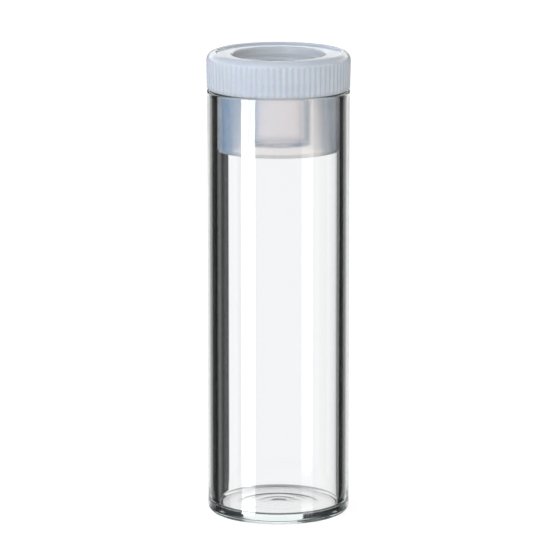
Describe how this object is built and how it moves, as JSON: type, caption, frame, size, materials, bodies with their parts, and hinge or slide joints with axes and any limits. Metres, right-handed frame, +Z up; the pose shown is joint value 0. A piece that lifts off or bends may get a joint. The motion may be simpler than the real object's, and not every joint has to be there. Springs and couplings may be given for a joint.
{
  "type": "glass sample vial",
  "caption": "Straight clear glass sample vial with a rounded heel and lip, closed by a push-in milky plastic stopper with a knurled head.",
  "frame": {"origin": "centre of the base, on the surface that the vial stands on", "axes": "+Z up along the axis of the tube, out of its mouth"},
  "size_m": [0.0148, 0.0148, 0.0484],
  "materials": {
    "clear_glass": "fire-polished clear glass, a little green where it is seen edge on",
    "milky_polyethylene": "moulded natural low-density polyethylene, milky and soft to the light"
  },
  "bodies": {
    "vial": {"glass_vial": "clear_glass"},
    "stopper": {"stopper": "milky_polyethylene"}
  },
  "joints": [
    {"name": "stopper_pull", "type": "slide", "parent": "vial", "child": "stopper", "axis": [0, 0, 1], "range_m": [0, 0.014]}
  ]
}
